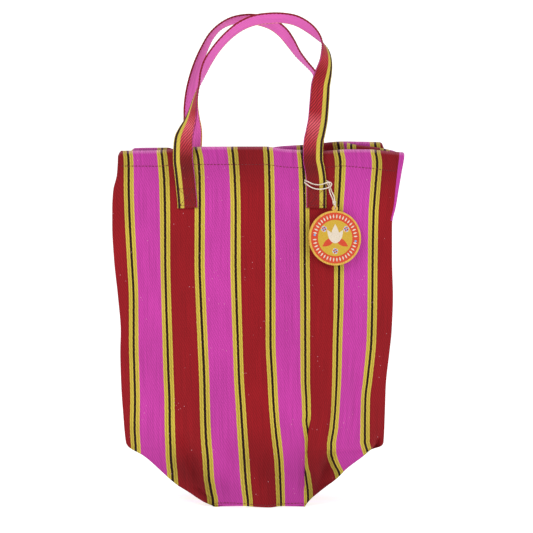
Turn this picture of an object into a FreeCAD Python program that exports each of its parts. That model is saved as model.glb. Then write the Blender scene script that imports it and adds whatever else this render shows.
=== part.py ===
"""Striped woven tote bag that stands on a boxed base, with two strap handles and a round swing tag.

Millimetres. +Z is up, the front of the bag faces -Y, and the origin is the middle of the underside.
Each piece is its own solid and is written to parts/NAME.step.
"""
import FreeCAD, Part
import math
import os

from FreeCAD import Vector

# --- driving dimensions -------------------------------------------------------------------------
CLOTH = 1.0                 # body cloth, as it bulks at the folds
WALL_GAP = 0.5              # from the meeting line of the walls to each wall's inner face
RUNNING_GAP = 0.3           # between pieces that move past each other
BASE_WIDTH = 95.0
BASE_DEPTH = 150.0
CORNER_Z = 55.0             # where the folded corners come to a point at the side edges
FRONT_RIM_Z = 364.0
BACK_RIM_Z = 370.0
MOUTH_HALF = 13.0           # half of the mouth's depth, at its middle
FLARE = 1.2                 # above 1, the walls spread more quickly near the base
ROUND_LOW, ROUND_RIM = 1.5, 2.2     # how round the walls are in plan, at the base and at the rim
# height, left side edge, right side edge
SIDE_EDGES = [
    (55.0, -140.0, 130.0),
    (110.0, -145.5, 131.5),
    (180.0, -146.5, 138.5),
    (250.0, -151.5, 139.0),
    (310.0, -152.0, 143.0),
    (364.0, -149.5, 152.0),
]
# places across a wall where its flat facets meet, as shares of the distance to the side edge
ACROSS = [-1.0, -0.84, -0.65, -0.40, -0.15, 0.05, 0.25, 0.50, 0.70, 0.87, 1.0]

HEM_DEPTH = 18.0
HEM_THICK = 0.8
HEM_REACH = 0.84            # share of the half width that the turned-in hem covers
HEM_MARGIN = 2.0            # from the hem's lower edge up to its stitches
SEAM_INSET = 3.0            # from the side edge to the side seam
BASE_SEAM_Z = 4.0
THREAD_REACH = 0.87         # share of the half width that a row of stitches covers
THREAD_WIDE, THREAD_THICK = 0.8, 0.3
LIFT = 0.03                 # a trim piece stands this far off the cloth
TINY = 1e-9

STRAP_WIDE, STRAP_THICK = 20.8, 1.8
TAB_FOOT_Z = 304.0          # lower end of the sewn part of each strap
TAB_SEWN_Z = 326.5          # upper end of the sewn part
TAB_LOOSE_Z = 331.5         # where the unsewn part stands furthest off the wall
TAB_LOOSE_GAP = 2.0
TAB_RIM_GAP = 0.4
TAB_MARGIN = 2.5            # from a tab's edges to its stitches

CORD_D = 1.3
KNOT_R = 2.5
TAG_R, TAG_THICK = 28.5, 1.6
TAG_HOLE_R = 1.1
TAG_EAR_R = 3.1
TAG_YAW, TAG_PITCH = 17.0, 3.5      # how the tag lies against the wall, in degrees
FOLD_INSET = 2.4                    # the corner folds stay this far inside the walls
FOLD_TIP = 0.92                     # and end this far along the way to the side edge's point

# --- handle routes: x, z and the strap's twist in degrees ------------------------------------------
# A twist of 0 lies flat to the wall with the striped edge outward, and 90 shows the strap edge on.
FRONT_HANDLE_Y, BACK_HANDLE_Y = -13.0, 13.0
RIM_BULGE, RIM_BULGE_Z, RIM_BULGE_TALL = 4.0, 386.0, 20.0   # how far the straps lean out above the rim
FRONT_ROUTE = [
    (-80, 373, 13), (-77.5, 383, 33), (-73, 395, 52), (-70, 408, 67), (-67, 421, 78), (-63, 434.5, 91),
    (-59.5, 445.5, 104), (-54.5, 457, 110), (-46, 470, 109), (-35, 482.5, 109), (-22, 493, 111),
    (-8, 499.5, 113), (7, 502, 114), (23, 502.5, 112), (38, 499.5, 113), (51, 492, 111),
    (60, 483.5, 101), (65.5, 475.5, 83), (68.2, 466.5, 63), (68.4, 456, 49), (66, 444.5, 32),
    (63.2, 433, 18), (62.2, 420.5, 10), (61.3, 408.5, 6), (60, 395, 6), (57.4, 381.5, 5), (55.6, 373, 4),
]
BACK_ROUTE = [
    (-71.8, 378, 6), (-71.9, 388, 16), (-72.6, 399, 37), (-73.3, 411, 46), (-72.7, 424, 53),
    (-71.2, 436, 60), (-68.4, 448.5, 65), (-64.2, 461, 68), (-58.8, 474, 73), (-52, 486.5, 77),
    (-42.5, 496.5, 80), (-29.5, 503, 76), (-14, 505, 70), (1, 503, 65), (13.5, 498.5, 63),
    (24, 490.5, 62), (32, 480, 66), (39.8, 468, 75), (48.4, 458, 82), (56.4, 449, 84), (60.8, 440, 72),
    (62.6, 430, 52), (62.8, 420, 34), (62, 409, 20), (60.4, 395, 10), (58.2, 383, 3), (57.2, 378, 0),
]
# where each sewn tab's middle is: height, x
FRONT_LEFT_TAB = [(TAB_FOOT_Z, -75.7), (TAB_SEWN_Z, -77.5), (TAB_LOOSE_Z, -78.0), (FRONT_RIM_Z, -81.0)]
FRONT_RIGHT_TAB = [(TAB_FOOT_Z, 58.4), (TAB_SEWN_Z, 58.5), (TAB_LOOSE_Z, 58.4), (FRONT_RIM_Z, 54.4)]
BACK_LEFT_TAB = [(TAB_FOOT_Z, -75.0), (TAB_SEWN_Z, -74.8), (TAB_LOOSE_Z, -74.6), (BACK_RIM_Z, -72.4)]
BACK_RIGHT_TAB = [(TAB_FOOT_Z, 58.4), (TAB_SEWN_Z, 58.2), (TAB_LOOSE_Z, 58.0), (BACK_RIM_Z, 57.4)]

# --- string route: it is hitched round the front right strap, just above the sewn part -----------
# It comes up from the fall, passes behind the strap, returns over its face, turns back over itself
# and goes round once more.
HITCH_ROUTE = [
    (73.2, -18.8, 324.4), (72.6, -17.3, 328.2), (70.9, -15.9, 331.8), (66.5, -15.6, 333.4),
    (57.5, -16.4, 333.6), (49.5, -17.0, 333.4), (46.5, -17.9, 333.2), (46.4, -20.6, 332.6),
    (49.3, -21.4, 331.4), (54.0, -21.0, 329.0), (60.0, -20.3, 327.8), (66.0, -20.2, 328.8),
    (70.4, -20.7, 331.0), (73.8, -21.0, 330.4), (74.6, -20.7, 327.4), (71.2, -20.0, 325.2),
    (65.5, -19.4, 323.6), (58.5, -19.7, 323.4), (52.0, -20.3, 325.8), (48.4, -21.1, 328.6),
    (46.2, -20.5, 330.2), (46.3, -17.7, 331.0), (49.6, -17.0, 331.3), (57.5, -16.4, 331.3),
    (66.5, -15.7, 331.2), (70.6, -16.4, 329.2), (71.7, -18.6, 324.2),
]
FALL_ROUTES = [
    [(73.0, -19.7, 321.8), (75.1, -20.1, 319.6), (76.8, -20.8, 316.2), (77.2, -21.6, 312.3), (78.2, -22.2, 308.6)],
    [(71.8, -19.6, 321.6), (72.8, -20.0, 318.9), (74.5, -20.7, 315.5), (75.7, -21.5, 311.9), (77.0, -22.1, 308.4)],
]

FRONT, BACK = -1, 1         # the sign of y for each wall


# --- small helpers -----------------------------------------------------------------------------
def between(low, high, share):
    """The value this share of the way from low to high."""
    return low + (high - low) * share


def side_edge(z, right):
    """x of the side edge at a height, from the corner's point upwards."""
    column = 2 if right else 1
    rows = SIDE_EDGES
    if z >= rows[-1][0]:
        return rows[-1][column]
    for low, high in zip(rows, rows[1:]):
        if z <= high[0]:
            return between(low[column], high[column], max(0.0, (z - low[0]) / (high[0] - low[0])))


def edge_x(z, right):
    """x of a wall's edge at a height: below the corner's point it runs in to the base."""
    base = BASE_WIDTH / 2 if right else -BASE_WIDTH / 2
    if z >= CORNER_Z:
        return side_edge(z, right)
    return between(base, side_edge(CORNER_Z, right), z / CORNER_Z)


def wall_depth(share, z):
    """Distance from the bag's middle plane to the meeting line of a wall, before WALL_GAP."""
    rise = min(1.0, z / FRONT_RIM_Z)
    middle = between(MOUTH_HALF, BASE_DEPTH / 2, (1 - rise) ** FLARE)
    edge = BASE_DEPTH / 2 * max(0.0, 1 - z / CORNER_Z)
    roundness = between(ROUND_LOW, ROUND_RIM, rise)
    return edge + (middle - edge) * (1 - abs(share) ** roundness)


def section_heights(bottom, rim):
    """Heights at which a wall's plan section is drawn."""
    return [bottom, 20.0, CORNER_Z, 85.0, 120.0, 180.0, 240.0, 290.0, 326.5, rim]


def section_point(side, share, z, off):
    """A point of a wall's section, off its inner face by a distance towards the outside."""
    x = abs(share) * edge_x(z, share > 0)
    return Vector(x, side * (wall_depth(share, z) + WALL_GAP + off), z)


def wall_row(side, shares, z, off, heights):
    """Points across the faceted wall at a height, off its inner face towards the outside."""
    low, high = next((a, b) for a, b in zip(heights, heights[1:]) if z <= b + TINY)
    rise = (z - low) / (high - low)
    row = []
    for share in shares:
        start = section_point(side, share, low, off)
        row.append(start + (section_point(side, share, high, off) - start) * rise)
    return row


def on_wall(side, x, z, off, heights):
    """The point of the faceted wall at this x and z, off its inner face towards the outside."""
    row = wall_row(side, ACROSS, z, off, heights)
    left, right = next((a, b) for a, b in zip(row, row[1:]) if x <= b.x + TINY)
    return left + (right - left) * ((x - left.x) / (right.x - left.x))


def closed_wire(points):
    """A closed wire of straight edges through the points."""
    return Part.makePolygon(points + [points[0]])


def ruled_solid(wires):
    """A solid of ruled faces through closed wires that have the same number of points."""
    solid = Part.makeLoft(wires, True, True)
    if solid.Volume < 0:
        solid.reverse()
    return solid


def prism(points, height):
    """A solid between a flat outline and its copy raised by a height."""
    return Part.Face(closed_wire(points)).extrude(Vector(0, 0, height))


def save(name, shape):
    """Checks a piece and writes its STEP file."""
    if not shape.isValid():
        print("NOT VALID:", name)
    shape.exportStep(f"parts/{name}.step")
    print(f"{name:24s} {len(shape.Solids):3d} solids {shape.Volume:10.1f} mm3")


# --- bag body -----------------------------------------------------------------------------------
FRONT_HEIGHTS = section_heights(CLOTH + RUNNING_GAP, FRONT_RIM_Z)
BACK_HEIGHTS = section_heights(CLOTH, BACK_RIM_Z)


def wall(side, heights):
    """One wall of the bag: thin plan sections joined by ruled faces."""
    wires = []
    for z in heights:
        inner = [section_point(side, share, z, 0.0) for share in ACROSS]
        outer = [section_point(side, share, z, CLOTH) for share in reversed(ACROSS)]
        wires.append(closed_wire(inner + outer))
    return ruled_solid(wires)


def base_panel():
    """The flat bottom."""
    half_w, half_d = BASE_WIDTH / 2, BASE_DEPTH / 2 + WALL_GAP + CLOTH
    outline = [Vector(-half_w, -half_d, 0), Vector(half_w, -half_d, 0), Vector(half_w, half_d, 0)]
    return prism(outline + [Vector(-half_w, half_d, 0)], CLOTH)


def corner_fold(right):
    """The three-cornered end between the walls, from the base's short side up to the side edge."""
    base_x = BASE_WIDTH / 2 if right else -BASE_WIDTH / 2
    tip_x = between(base_x, side_edge(CORNER_Z, right), FOLD_TIP)
    tip_z = CORNER_Z * FOLD_TIP
    half_d = BASE_DEPTH / 2 - FOLD_INSET
    tip_half = BASE_DEPTH / 2 * (1 - FOLD_TIP) - FOLD_INSET
    outline = [
        Vector(base_x, -half_d, 0), Vector(tip_x, -tip_half, tip_z),
        Vector(tip_x, tip_half, tip_z), Vector(base_x, half_d, 0),
    ]
    return prism(outline, CLOTH)


def hem(side, rim, heights):
    """The cloth turned in at the rim, lying on the wall's inner face."""
    shares = [share for share in ACROSS if abs(share) <= HEM_REACH]
    wires = []
    for z in (rim - HEM_DEPTH, rim - RUNNING_GAP):
        touching = wall_row(side, shares, z, -LIFT, heights)
        inside = wall_row(side, shares, z, -LIFT - HEM_THICK, heights)
        wires.append(closed_wire(touching + inside[::-1]))
    return ruled_solid(wires)


def thread_on_wall(side, reach, z, heights):
    """An upright flat thread across a wall's outer face at one height, over a share of its half width."""
    shares = [share for share in ACROSS if abs(share) <= reach]
    bottom = z - THREAD_WIDE / 2
    near = [Vector(p.x, p.y, bottom) for p in wall_row(side, shares, bottom, CLOTH + LIFT, heights)]
    far = [p + Vector(0, side * THREAD_THICK, 0) for p in near]
    return prism(near + far[::-1], THREAD_WIDE)


def side_seam(right):
    """The seam that closes the side, on the back wall just behind the side edge."""
    sign = 1 if right else -1
    wires = []
    for z in [h for h in BACK_HEIGHTS if h >= CORNER_Z]:
        x = side_edge(z, right) - sign * SEAM_INSET
        a = on_wall(BACK, x - THREAD_WIDE / 2, z, CLOTH + LIFT, BACK_HEIGHTS)
        b = on_wall(BACK, x + THREAD_WIDE / 2, z, CLOTH + LIFT, BACK_HEIGHTS)
        out = Vector(0, THREAD_THICK, 0)
        wires.append(closed_wire([a, b, b + out, a + out]))
    return ruled_solid(wires)


# --- straps -------------------------------------------------------------------------------------
def tab(side, stations, heights):
    """The end of a strap that lies on the wall: sewn at its foot, a little loose above that."""
    standoff = {TAB_FOOT_Z: LIFT, TAB_SEWN_Z: LIFT, TAB_LOOSE_Z: TAB_LOOSE_GAP}
    wires = []
    for z, x in stations:
        off = CLOTH + standoff.get(z, TAB_RIM_GAP)
        left = on_wall(side, x - STRAP_WIDE / 2, z, off, heights)
        right = on_wall(side, x + STRAP_WIDE / 2, z, off, heights)
        out = Vector(0, side * STRAP_THICK, 0)
        wires.append(closed_wire([left, right, right + out, left + out]))
    return ruled_solid(wires)


def tab_thread(side, stations, heights):
    """The stitched square on a strap's foot: two rows across and two rows down."""
    low, high = TAB_FOOT_Z + TAB_MARGIN, TAB_SEWN_Z - TAB_MARGIN
    x_low, x_high = stations[0][1], stations[1][1]
    half = STRAP_WIDE / 2 - TAB_MARGIN
    pieces = []
    for z, x in ((low, x_low), (high, x_high)):
        pieces.append(tab_bar(side, heights, [
            (x, z - THREAD_WIDE / 2, x, z + THREAD_WIDE / 2, across) for across in (-half, half)]))
    for across in (-half, half):
        left, right = across - THREAD_WIDE / 2, across + THREAD_WIDE / 2
        pieces.append(tab_bar(side, heights, [
            (x_low, low + THREAD_WIDE, x_high, high - THREAD_WIDE, edge) for edge in (left, right)]))
    return pieces


def tab_bar(side, heights, ends):
    """A flat thread on a tab's face between two ends, each a line from one height to another."""
    off = CLOTH + LIFT + STRAP_THICK + LIFT
    out = Vector(0, side * THREAD_THICK, 0)
    wires = []
    for x_low, low, x_high, high, across in ends:
        a = chord_point(side, x_low, low, across, off, heights)
        b = chord_point(side, x_high, high, across, off, heights)
        wires.append(closed_wire([a, b, b + out, a + out]))
    return ruled_solid(wires)


def chord_point(side, x, z, across, off, heights):
    """A point on the flat face of a tab, which spans straight from one strap edge to the other."""
    left = on_wall(side, x - STRAP_WIDE / 2, z, off, heights)
    right = on_wall(side, x + STRAP_WIDE / 2, z, off, heights)
    return left + (right - left) * (across / STRAP_WIDE + 0.5)


def handle(side, route, y, rim, feet):
    """A strap loop. It rises from the rim, turns over and comes down again, twisting on the way.

    feet gives x and y of the strap's middle at the rim, left and right.
    """
    start_z = rim + 2 * RUNNING_GAP
    stations = [(feet[0][0], feet[0][1], start_z, 0.0)]
    for number, (x, z, twist) in enumerate(route):
        ends = min(number, len(route) - 1 - number)
        foot_y = feet[0][1] if number < len(route) / 2 else feet[1][1]
        over_rim = side * RIM_BULGE * math.exp(-((z - RIM_BULGE_Z) / RIM_BULGE_TALL) ** 2)
        stations.append((x, between(foot_y, y, min(1.0, (ends + 1) / 3)) + over_rim, z, twist))
    stations.append((feet[1][0], feet[1][1], start_z, 0.0))
    wires = []
    for number, (x, yy, z, twist) in enumerate(stations):
        before = stations[max(0, number - 1)]
        after = stations[min(len(stations) - 1, number + 1)]
        along = Vector(after[0] - before[0], 0, after[2] - before[2]).normalize()
        if number in (0, len(stations) - 1):
            along = Vector(0, 0, 1 if number == 0 else -1)
        outward = Vector(-along.z, 0, along.x)
        turn = math.radians(twist)
        wide = outward * math.cos(turn) + Vector(0, -side * math.sin(turn), 0)
        thick = along.cross(wide)
        middle = Vector(x, yy, z)
        wide, thick = wide * (STRAP_WIDE / 2), thick * (STRAP_THICK / 2)
        wires.append(closed_wire([middle - wide - thick, middle + wide - thick,
                                  middle + wide + thick, middle - wide + thick]))
    return ruled_solid(wires)


def tab_top(side, stations, heights):
    """x and y of the middle of a strap where it passes the rim."""
    z, x = stations[-1]
    p = chord_point(side, x, z, 0.0, CLOTH + TAB_RIM_GAP + STRAP_THICK / 2, heights)
    return p.x, p.y


# --- cord and tag ---------------------------------------------------------------------------------
def tube(points, diameter, name):
    """A round tube of straight runs joined by tangent arcs, as large as the runs allow."""
    edges, here, radii = [], points[0], []
    for before, corner, after in zip(points, points[1:], points[2:]):
        run_in, run_out = corner - before, after - corner
        turn = run_in.getAngle(run_out)
        radius = 0.45 * min(run_in.Length, run_out.Length) / math.tan(turn / 2)
        radii.append(radius)
        back = radius * math.tan(turn / 2)
        run_in.normalize()
        run_out.normalize()
        start, end = corner - run_in * back, corner + run_out * back
        inward = (run_out - run_in).normalize()
        centre = corner + inward * (radius / math.cos(turn / 2))
        edges += [Part.LineSegment(here, start).toShape(),
                  Part.Arc(start, centre - inward * radius, end).toShape()]
        here = end
    edges.append(Part.LineSegment(here, points[-1]).toShape())
    path = Part.Wire(edges)
    first = (points[1] - points[0]).normalize()
    ring = Part.Wire(Part.makeCircle(diameter / 2, points[0], first))
    solid = path.makePipeShell([ring], True, True)
    expected = math.pi * diameter ** 2 / 4 * path.Length
    print(f"{name}: length {path.Length:.1f}, smallest radius {min(radii, default=0):.2f}, "
          f"volume {solid.Volume:.1f} of {expected:.1f}")
    return solid


TAG_RIGHT = Vector(math.cos(math.radians(TAG_YAW)), math.sin(math.radians(TAG_YAW)), 0)
TAG_UP = Vector(0, math.sin(math.radians(TAG_PITCH)), math.cos(math.radians(TAG_PITCH)))
TAG_FACE = TAG_RIGHT.cross(TAG_UP).normalize()          # out of the printed side
TAG_CENTRE = Vector(77.6, -23.4, 272.6)
TAG_EAR_RISE = TAG_R + 2.2          # from the disc's middle to the hole's middle


def tag_point(right, up, out):
    """A point given in the tag's own directions."""
    return TAG_CENTRE + TAG_RIGHT * right + TAG_UP * up + TAG_FACE * out


def swing_tag():
    """A round disc with a small ear and a hole for the string."""
    back = tag_point(0, 0, -TAG_THICK / 2)
    ear = tag_point(0, TAG_EAR_RISE, -TAG_THICK / 2)
    disc = Part.makeCylinder(TAG_R, TAG_THICK, back, TAG_FACE)
    disc = disc.fuse(Part.makeCylinder(TAG_EAR_R, TAG_THICK, ear, TAG_FACE))
    return disc.cut(Part.makeCylinder(TAG_HOLE_R, 3 * TAG_THICK, ear - TAG_FACE * TAG_THICK, TAG_FACE))


def tag_knot():
    """The knot that stops the string above the tag."""
    return Part.makeSphere(KNOT_R, KNOT_AT)


KNOT_AT = tag_point(-0.6, TAG_EAR_RISE + TAG_EAR_R + KNOT_R + 0.4, 0)


def main():
    os.makedirs("parts", exist_ok=True)
    save("front_panel", wall(FRONT, FRONT_HEIGHTS))
    save("back_panel", wall(BACK, BACK_HEIGHTS))
    save("base_panel", base_panel())
    for name, right in (("left", False), ("right", True)):
        save(f"{name}_corner_fold", corner_fold(right))
        save(f"{name}_side_seam", side_seam(right))
    for name, side, rim, heights in (("front", FRONT, FRONT_RIM_Z, FRONT_HEIGHTS),
                                     ("back", BACK, BACK_RIM_Z, BACK_HEIGHTS)):
        save(f"{name}_hem", hem(side, rim, heights))
        save(f"{name}_hem_thread", thread_on_wall(side, THREAD_REACH, rim - HEM_DEPTH + HEM_MARGIN, heights))
        save(f"{name}_base_seam", thread_on_wall(side, THREAD_REACH, BASE_SEAM_Z, heights))
    threads = {FRONT: [], BACK: []}
    for name, side, stations, heights in (
            ("front_left_tab", FRONT, FRONT_LEFT_TAB, FRONT_HEIGHTS),
            ("front_right_tab", FRONT, FRONT_RIGHT_TAB, FRONT_HEIGHTS),
            ("back_left_tab", BACK, BACK_LEFT_TAB, BACK_HEIGHTS),
            ("back_right_tab", BACK, BACK_RIGHT_TAB, BACK_HEIGHTS)):
        save(name, tab(side, stations, heights))
        threads[side] += tab_thread(side, stations, heights)
    save("front_tab_thread", Part.makeCompound(threads[FRONT]))
    save("back_tab_thread", Part.makeCompound(threads[BACK]))
    feet = [tab_top(FRONT, s, FRONT_HEIGHTS) for s in (FRONT_LEFT_TAB, FRONT_RIGHT_TAB)]
    save("front_handle_strap", handle(FRONT, FRONT_ROUTE, FRONT_HANDLE_Y, FRONT_RIM_Z, feet))
    feet = [tab_top(BACK, s, BACK_HEIGHTS) for s in (BACK_LEFT_TAB, BACK_RIGHT_TAB)]
    save("back_handle_strap", handle(BACK, BACK_ROUTE, BACK_HANDLE_Y, BACK_RIM_Z, feet))
    routes = [[Vector(*p) for p in route] for route in FALL_ROUTES]
    save("tag_string_hitch", tube([Vector(*p) for p in HITCH_ROUTE], CORD_D, "hitch"))
    save("tag_string_fall", Part.makeCompound([tube(route, CORD_D, "fall") for route in routes]))
    save("tag_disc", swing_tag())
    save("tag_knot", tag_knot())


main()
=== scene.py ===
"""Looks of the striped woven tote bag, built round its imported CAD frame.

Sizes in the tables and formulas are millimetres, in the CAD frame: +Z up and the front of the bag
towards -Y. The string's route is in metres. Meshes are turned into metres as they are made.
"""
import bisect
import math

import bpy
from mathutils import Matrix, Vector, noise


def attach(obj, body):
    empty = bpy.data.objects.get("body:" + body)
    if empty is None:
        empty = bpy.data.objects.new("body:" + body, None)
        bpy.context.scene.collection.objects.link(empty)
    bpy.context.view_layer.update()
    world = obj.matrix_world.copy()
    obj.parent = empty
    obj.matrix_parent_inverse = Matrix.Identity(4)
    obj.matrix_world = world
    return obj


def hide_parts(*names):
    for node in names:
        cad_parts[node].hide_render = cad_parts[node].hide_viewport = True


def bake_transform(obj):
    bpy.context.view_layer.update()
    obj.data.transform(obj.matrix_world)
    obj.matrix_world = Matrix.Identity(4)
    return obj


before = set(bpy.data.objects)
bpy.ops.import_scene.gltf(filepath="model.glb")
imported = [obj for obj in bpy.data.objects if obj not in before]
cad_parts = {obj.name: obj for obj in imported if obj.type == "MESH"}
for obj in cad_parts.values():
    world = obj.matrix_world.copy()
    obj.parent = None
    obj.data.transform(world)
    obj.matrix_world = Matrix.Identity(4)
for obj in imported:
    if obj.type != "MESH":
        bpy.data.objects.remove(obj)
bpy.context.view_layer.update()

MM = 0.001
FRONT, BACK = -1, 1                 # the sign of y for each wall


# --- small helpers --------------------------------------------------------------------------------
def between(low, high, share):
    """The value this share of the way from low to high."""
    return low + (high - low) * share


def ease(share):
    """0 to 1 with a soft start and end, and held at both outside them."""
    share = min(1.0, max(0.0, share))
    return share * share * (3 - 2 * share)


def steepness(rows, i, column):
    """The slope of a table's curve at one row. It never makes the curve overshoot."""
    if i in (0, len(rows) - 1):
        return 0.0
    before, here, after = rows[i - 1], rows[i], rows[i + 1]
    left = (here[column] - before[column]) / (here[0] - before[0])
    right = (after[column] - here[column]) / (after[0] - here[0])
    return 0.0 if left * right <= 0 else 2 * left * right / (left + right)


def read_table(rows, at, column=1):
    """A column's value at a place in a table that is sorted by its first column."""
    if at <= rows[0][0]:
        return rows[0][column]
    if at >= rows[-1][0]:
        return rows[-1][column]
    i = bisect.bisect_right([row[0] for row in rows], at) - 1
    span = rows[i + 1][0] - rows[i][0]
    t = (at - rows[i][0]) / span
    curve_out = steepness(rows, i, column) * span
    curve_in = steepness(rows, i + 1, column) * span
    return (rows[i][column] * (1 + 2 * t) * (1 - t) ** 2 + curve_out * t * (1 - t) ** 2
            + rows[i + 1][column] * t * t * (3 - 2 * t) + curve_in * t * t * (t - 1))


def ripple(x, z, size_x, size_z, seed):
    """Smooth noise from -1 to 1 over lengths of about these sizes."""
    return noise.noise(Vector((x / size_x, z / size_z, seed)))


def new_piece(name, points, faces, materials, uvs=None, face_material=None, smooth=True):
    """A mesh object from points in millimetres. uvs has one pair for each corner of each face."""
    mesh = bpy.data.meshes.new(name)
    mesh.from_pydata([[c * MM for c in p] for p in points], [], faces)
    for material in materials:
        mesh.materials.append(material)
    if uvs:
        layer = mesh.uv_layers.new(name="cloth")
        layer.data.foreach_set("uv", [c for corner in uvs for c in corner])
    if face_material:
        mesh.polygons.foreach_set("material_index", face_material)
    mesh.polygons.foreach_set("use_smooth", [smooth] * len(mesh.polygons))
    mesh.update()
    piece = bpy.data.objects.new(name, mesh)
    bpy.context.scene.collection.objects.link(piece)
    return piece


def tube_faces(first, rings, sides, closed=False):
    """Faces of a tube whose rings of points follow each other. It has flat ends unless closed."""
    faces = []
    for r in range(rings if closed else rings - 1):
        here, there = first + r * sides, first + (r + 1) % rings * sides
        for k in range(sides):
            n = (k + 1) % sides
            faces.append((here + k, here + n, there + n, there + k))
    if not closed:
        faces.append(tuple(first + k for k in reversed(range(sides))))
        faces.append(tuple(first + (rings - 1) * sides + k for k in range(sides)))
    return faces


def settle(piece):
    """Applies the piece's modifiers, so that its mesh is final."""
    graph = bpy.context.evaluated_depsgraph_get()
    graph.update()
    mesh = bpy.data.meshes.new_from_object(
        piece.evaluated_get(graph), preserve_all_data_layers=True, depsgraph=graph)
    piece.modifiers.clear()
    piece.data = mesh


def thicken(piece, thickness):
    """Gives a sheet its thickness, towards the back of its faces."""
    solidify = piece.modifiers.new("thickness", "SOLIDIFY")
    solidify.thickness = thickness * MM
    solidify.offset = -1
    solidify.use_even_offset = False
    settle(piece)


# --- camera, light and stage ----------------------------------------------------------------------
CAMERA_AT = (0.0066, -2.0, 0.2431)
LENS = 128.65                       # for Blender's sensor of 36 mm


def set_stage():
    camera = bpy.data.objects.new("camera", bpy.data.cameras.new("camera"))
    camera.data.lens = LENS
    camera.location = CAMERA_AT
    camera.rotation_euler = (math.pi / 2, 0, 0)
    bpy.context.scene.collection.objects.link(camera)
    bpy.context.scene.camera = camera
    add_light("key", (-1.5, -1.9, 2.3), 1.0, 33)
    add_light("fill", (1.9, -1.7, 0.9), 2.0, 12)
    world = bpy.data.worlds.new("world")
    world.use_nodes = True
    world.node_tree.nodes["Background"].inputs["Color"].default_value = (1, 1, 1, 1)
    world.node_tree.nodes["Background"].inputs["Strength"].default_value = 0.51
    bpy.context.scene.world = world
    bpy.context.scene.view_settings.view_transform = "Standard"
    sweep = [(-5.0, 0.0), (1.6, 0.0)]
    sweep += [(1.6 + 1.4 * math.sin(a), 1.4 - 1.4 * math.cos(a))
              for a in (math.radians(10 * step) for step in range(1, 10))]
    sweep.append((3.0, 6.0))
    points = [(x, y / MM, z / MM) for y, z in sweep for x in (-7000, 7000)]
    faces = [(2 * i, 2 * i + 1, 2 * i + 3, 2 * i + 2) for i in range(len(sweep) - 1)]
    floor = new_piece("backdrop", points, faces, [backdrop_material()])


def add_light(name, place, size, power):
    """A large square lamp that looks at the middle of the bag."""
    lamp = bpy.data.lights.new(name, "AREA")
    lamp.size = size
    lamp.energy = power
    light = bpy.data.objects.new(name, lamp)
    light.location = place
    aim = Vector((0, 0, 0.2)) - Vector(place)
    light.rotation_euler = aim.to_track_quat("-Z", "Y").to_euler()
    bpy.context.scene.collection.objects.link(light)


# --- materials ------------------------------------------------------------------------------------
def colour(red, green, blue):
    """A colour given as it looks on a screen, 0 to 255, as the linear colour that shaders take."""
    def linear(value):
        value /= 255
        return value / 12.92 if value <= 0.04045 else ((value + 0.055) / 1.055) ** 2.4
    return (linear(red), linear(green), linear(blue), 1.0)


PINK = colour(197, 63, 163)
PALE_PINK = colour(228, 100, 188)
RED = colour(150, 20, 29)
DEEP_RED = colour(142, 16, 28)
ORANGE = colour(234, 164, 84)
YELLOW = colour(208, 186, 70)
OLIVE = colour(166, 140, 48)
BLACK = colour(40, 12, 14)
FLECK = colour(226, 170, 180)
FOLD_HIGHLIGHT = colour(255, 200, 236)      # painted highlight along the top of a fold
THREAD_RED = colour(112, 20, 32)
COTTON = colour(238, 228, 214)


def grey(value):
    """A plain grey, as linear light. Over 1 it brightens what it is multiplied with."""
    return (value, value, value, 1.0)


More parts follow.
